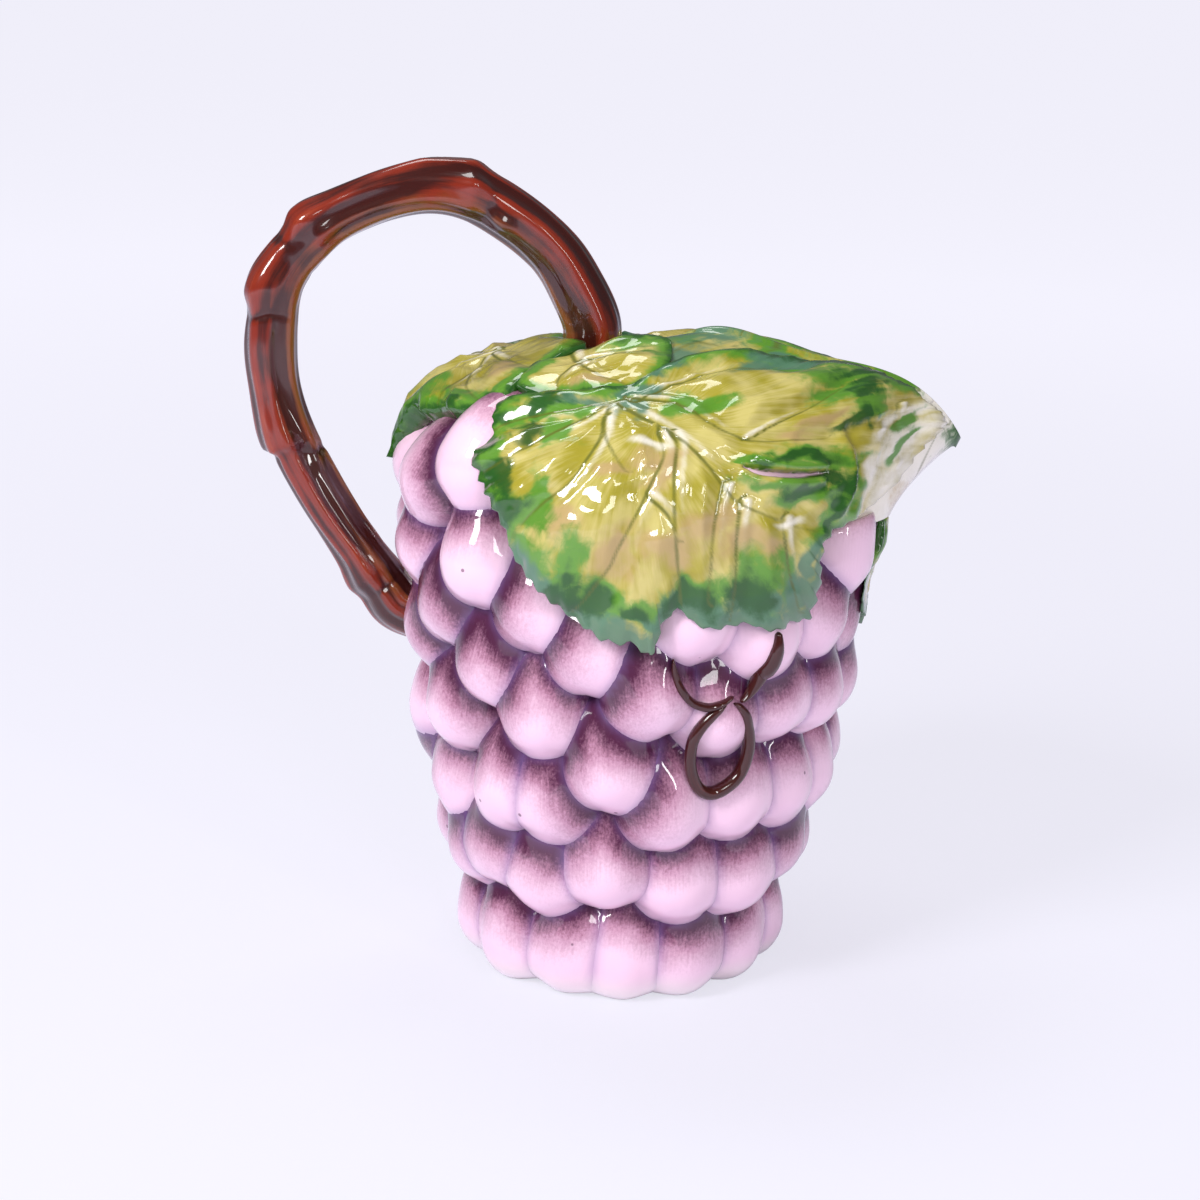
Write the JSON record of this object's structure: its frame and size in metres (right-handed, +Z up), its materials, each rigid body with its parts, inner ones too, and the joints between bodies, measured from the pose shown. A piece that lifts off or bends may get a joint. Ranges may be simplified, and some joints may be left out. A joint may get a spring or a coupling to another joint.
{
  "type": "grape cluster pitcher",
  "caption": "Glazed ceramic pitcher shaped as a bunch of grapes, with vine leaves over the shoulder, a beak spout and a branch handle.",
  "frame": {"origin": "centre of the foot, on the table plane", "axes": "+Z up, +X towards the spout, the handle towards -X, the side with the tendrils towards -Y"},
  "size_m": [0.2099, 0.1516, 0.2349],
  "materials": {
    "cream_glaze": "glossy clear glaze over cream earthenware",
    "grape_glaze": "glossy clear glaze over lilac and plum brushwork",
    "leaf_glaze": "glossy clear glaze over green and yellow brushwork",
    "branch_glaze": "glossy clear glaze over red-brown brushwork"
  },
  "bodies": {
    "root": {"cup": "cream_glaze", "grape_row_1": "grape_glaze", "grape_row_2": "grape_glaze", "grape_row_3": "grape_glaze", "grape_row_4": "grape_glaze", "grape_row_5": "grape_glaze", "grape_row_6": "grape_glaze", "grape_row_7": "grape_glaze", "shoulder": "cream_glaze", "spout": "leaf_glaze", "front_leaf": "leaf_glaze", "back_leaf": "leaf_glaze", "root_leaf": "leaf_glaze", "far_root_leaf": "leaf_glaze", "handle_leaf": "leaf_glaze", "under_leaf": "leaf_glaze", "handle": "branch_glaze", "tendril_blade": "branch_glaze", "tendril_hook": "branch_glaze", "tendril_loop": "branch_glaze"}
  },
  "joints": []
}
